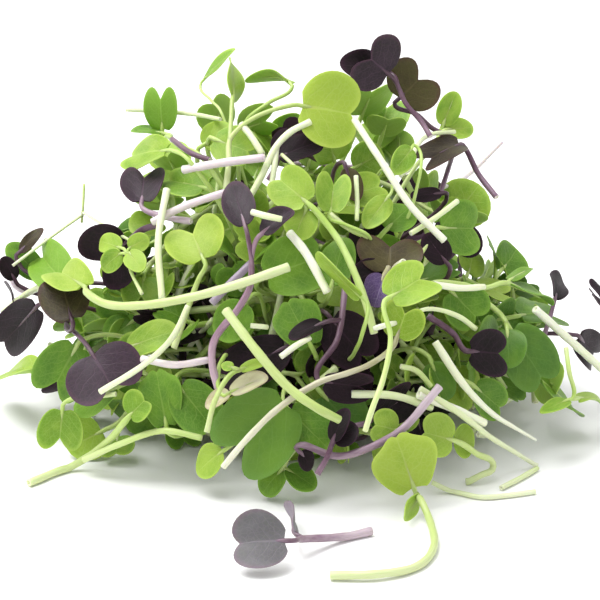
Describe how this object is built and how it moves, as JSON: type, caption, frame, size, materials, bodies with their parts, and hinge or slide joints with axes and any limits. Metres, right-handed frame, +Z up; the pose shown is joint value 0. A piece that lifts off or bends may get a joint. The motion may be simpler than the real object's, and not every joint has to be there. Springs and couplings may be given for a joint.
{
  "type": "heap of cut microgreens",
  "caption": "Loose heap of cut cabbage-family microgreens, pale green and dark purple, tumbled over one another as they lie on a table; a food prop that rests on its flat underside.",
  "frame": {"origin": "on the table, at the centre of the flat underside of the heap's core", "axes": "+Z up; +Y away from the picture's viewer, so the front faces -Y; +X to the right in the picture"},
  "size_m": [0.1615, 0.1631, 0.0956],
  "materials": {
    "deep_green": "soft waxy leaf",
    "green": "soft waxy leaf",
    "light_green": "soft waxy leaf",
    "lilac_stem": "moist stem",
    "olive": "dark satin leaf",
    "pale_stem": "moist stem",
    "purple": "dark satin leaf"
  },
  "bodies": {
    "root": {"bent_knee": "light_green", "big_deep_heart": "deep_green", "centre_purple": "purple", "cress_cross": "light_green", "crown_olive": "olive", "crown_purple": "purple", "curly_stem": "pale_stem", "curved_purple_stem": "purple", "curved_purple_stem_turned_235": "purple", "drooping_right": "light_green", "far_dark_bud": "purple", "far_right_white": "pale_stem", "floor_curve": "pale_stem", "floor_pair": "green", "floor_piece": "pale_stem", "forked_purple": "purple", "forked_purple_turned_140": "purple", "front_lobed": "light_green", "green_tangle": "green", "hanging_light_heart": "light_green", "high_dark_pair": "purple", "high_lilac_stem": "lilac_stem", "left_big_dark": "purple", "left_big_dark_turned_215": "purple", "left_floor_second": "light_green", "left_floor_stem": "light_green", "left_purple": "purple", "left_purple_turned_245": "purple", "left_twin_purple": "purple", "left_white_slant": "pale_stem", "level_green_stem": "pale_stem", "long_green_arm": "light_green", "long_white_stem": "pale_stem", "loose_purple": "purple", "low_white": "pale_stem", "mid_lilac_stem": "lilac_stem", "olive_heart_long": "light_green", "pale_fork": "light_green", "right_big_pair": "green", "right_dark_cup": "purple", "right_dark_cup_turned_250": "purple", "right_dark_round": "purple", "right_dark_round_turned_165": "purple", "right_green_wing": "light_green", "right_olive": "olive", "round_pair": "light_green", "short_pale_piece": "pale_stem", "slant_lilac_stem": "lilac_stem", "slant_white_stem": "pale_stem", "small_dark_front": "purple", "small_dark_front_turned_95": "purple", "spoon_pair": "purple", "spoon_pair_turned_190": "purple", "stout_white_piece": "pale_stem", "tall_fork": "light_green", "tapered_white": "pale_stem", "thick_pale_stem": "pale_stem", "thin_white_right": "pale_stem", "upright_pale_stem": "pale_stem", "yellow_heart": "light_green"}
  },
  "joints": []
}
